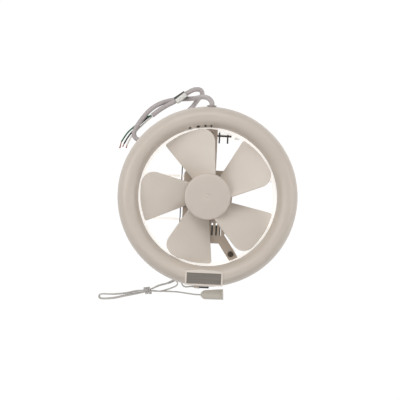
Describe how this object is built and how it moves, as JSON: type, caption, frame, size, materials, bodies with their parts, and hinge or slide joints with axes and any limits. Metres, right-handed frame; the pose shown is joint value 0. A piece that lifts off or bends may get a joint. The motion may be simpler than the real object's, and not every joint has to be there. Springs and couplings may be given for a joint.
{
  "type": "window exhaust fan",
  "caption": "Round window exhaust fan in two halves that clamp a window pane, with a broad-bladed impeller, a gravity shutter, a pull cord with a bell-shaped pull and a power lead.",
  "frame": {"origin": "centre of the outdoor rim's face, on the fan's axis, with the fan lying on that rim", "axes": "+Z along the fan's axis from the outdoor rim toward the room, +Y toward the fan's top with the badge at -Y, +X to the right as seen from the room"},
  "size_m": [0.3058, 0.3557, 0.153],
  "materials": {
    "ivory_plastic": "satin",
    "blade_plastic": "satin",
    "white_plastic": "satin",
    "bell_plastic": "satin",
    "dark_plastic": "satin",
    "silver_plate": "brushed",
    "bright_steel": "bright",
    "sheet_steel": "satin",
    "dark_screw": "dark",
    "copper": "bright",
    "gasket_rubber": "matte",
    "lead_grey": "satin",
    "wire_black": "satin",
    "wire_white": "satin",
    "wire_green": "satin",
    "string": "matte",
    "label": "matte"
  },
  "bodies": {
    "frame": {"rear_hood": "white_plastic", "rear_gasket": "gasket_rubber", "front_gasket": "gasket_rubber", "main_frame": "white_plastic", "front_ring": "ivory_plastic", "badge_bezel": "ivory_plastic", "badge_plate": "silver_plate", "rear_bearing": "bright_steel", "front_bearing": "bright_steel", "stator_core": "sheet_steel", "rear_winding": "copper", "front_winding": "copper", "motor_rear_cap": "sheet_steel", "motor_front_cap": "sheet_steel", "motor_bracket": "sheet_steel", "bracket_screw_1": "dark_screw", "bracket_screw_2": "dark_screw", "bracket_screw_3": "dark_screw", "motor_screw_1": "dark_screw", "motor_screw_2": "dark_screw", "clamp_bolt_1": "bright_steel", "clamp_bolt_2": "bright_steel", "clamp_bolt_3": "bright_steel", "clamp_nut_1": "bright_steel", "clamp_nut_2": "bright_steel", "clamp_nut_3": "bright_steel", "ring_screw_1": "bright_steel", "ring_screw_2": "bright_steel", "ring_screw_3": "bright_steel", "shutter_hanger": "dark_plastic", "capacitor": "dark_plastic", "terminal_block": "white_plastic", "motor_flex": "lead_grey", "lead_grommet": "lead_grey", "lead_inner": "lead_grey", "pull_switch": "white_plastic", "cord_nozzle": "dark_plastic", "cord_spout": "ivory_plastic", "pull_cord_hank": "string", "pull_cord_knot": "string", "pull_cord": "string", "pull_cord_tail": "string", "pull_bell": "bell_plastic", "power_lead": "lead_grey", "wire_black": "wire_black", "strand_black": "copper", "wire_white": "wire_white", "strand_white": "copper", "wire_green": "wire_green", "strand_green": "copper", "lead_label": "label"},
    "rotor": {"impeller": "blade_plastic", "hub_clip": "bright_steel", "motor_shaft": "bright_steel", "rotor_core": "sheet_steel"},
    "leaf_top": {"shutter_leaf_top": "white_plastic"},
    "leaf_middle": {"shutter_leaf_middle": "white_plastic"},
    "leaf_bottom": {"shutter_leaf_bottom": "white_plastic"},
    "tie_bar": {"shutter_tie_bar": "dark_plastic"},
    "lever": {"switch_lever": "dark_plastic"}
  },
  "joints": [
    {"name": "impeller_spin", "type": "hinge", "parent": "frame", "child": "rotor", "pos_m": [0, 0, 0.12], "axis": [0, 0, 1], "continuous": true},
    {"name": "leaf_top_hinge", "type": "hinge", "parent": "frame", "child": "leaf_top", "pos_m": [0, 0.098, 0.07], "axis": [1, 0, 0], "range_deg": [-90, 0]},
    {"name": "leaf_middle_hinge", "type": "hinge", "parent": "frame", "child": "leaf_middle", "pos_m": [0, 0.031, 0.07], "axis": [1, 0, 0], "range_deg": [-90, 0]},
    {"name": "leaf_bottom_hinge", "type": "hinge", "parent": "frame", "child": "leaf_bottom", "pos_m": [0, -0.036, 0.07], "axis": [1, 0, 0], "range_deg": [-90, 0]},
    {"name": "tie_bar_pivot", "type": "hinge", "parent": "leaf_top", "child": "tie_bar", "pos_m": [-0.0415, 0.092, 0.046], "axis": [1, 0, 0], "range_deg": [0, 90]},
    {"name": "switch_lever_pivot", "type": "hinge", "parent": "frame", "child": "lever", "pos_m": [0, -0.116, 0.1353], "axis": [0, 0, 1], "range_deg": [-25, 0], "stiffness_Nm_per_rad": 0.05}
  ],
  "couplings": [
    {"joint": "leaf_middle_hinge", "follows": "leaf_top_hinge", "ratio": 1},
    {"joint": "leaf_bottom_hinge", "follows": "leaf_top_hinge", "ratio": 1},
    {"joint": "tie_bar_pivot", "follows": "leaf_top_hinge", "ratio": -1}
  ]
}
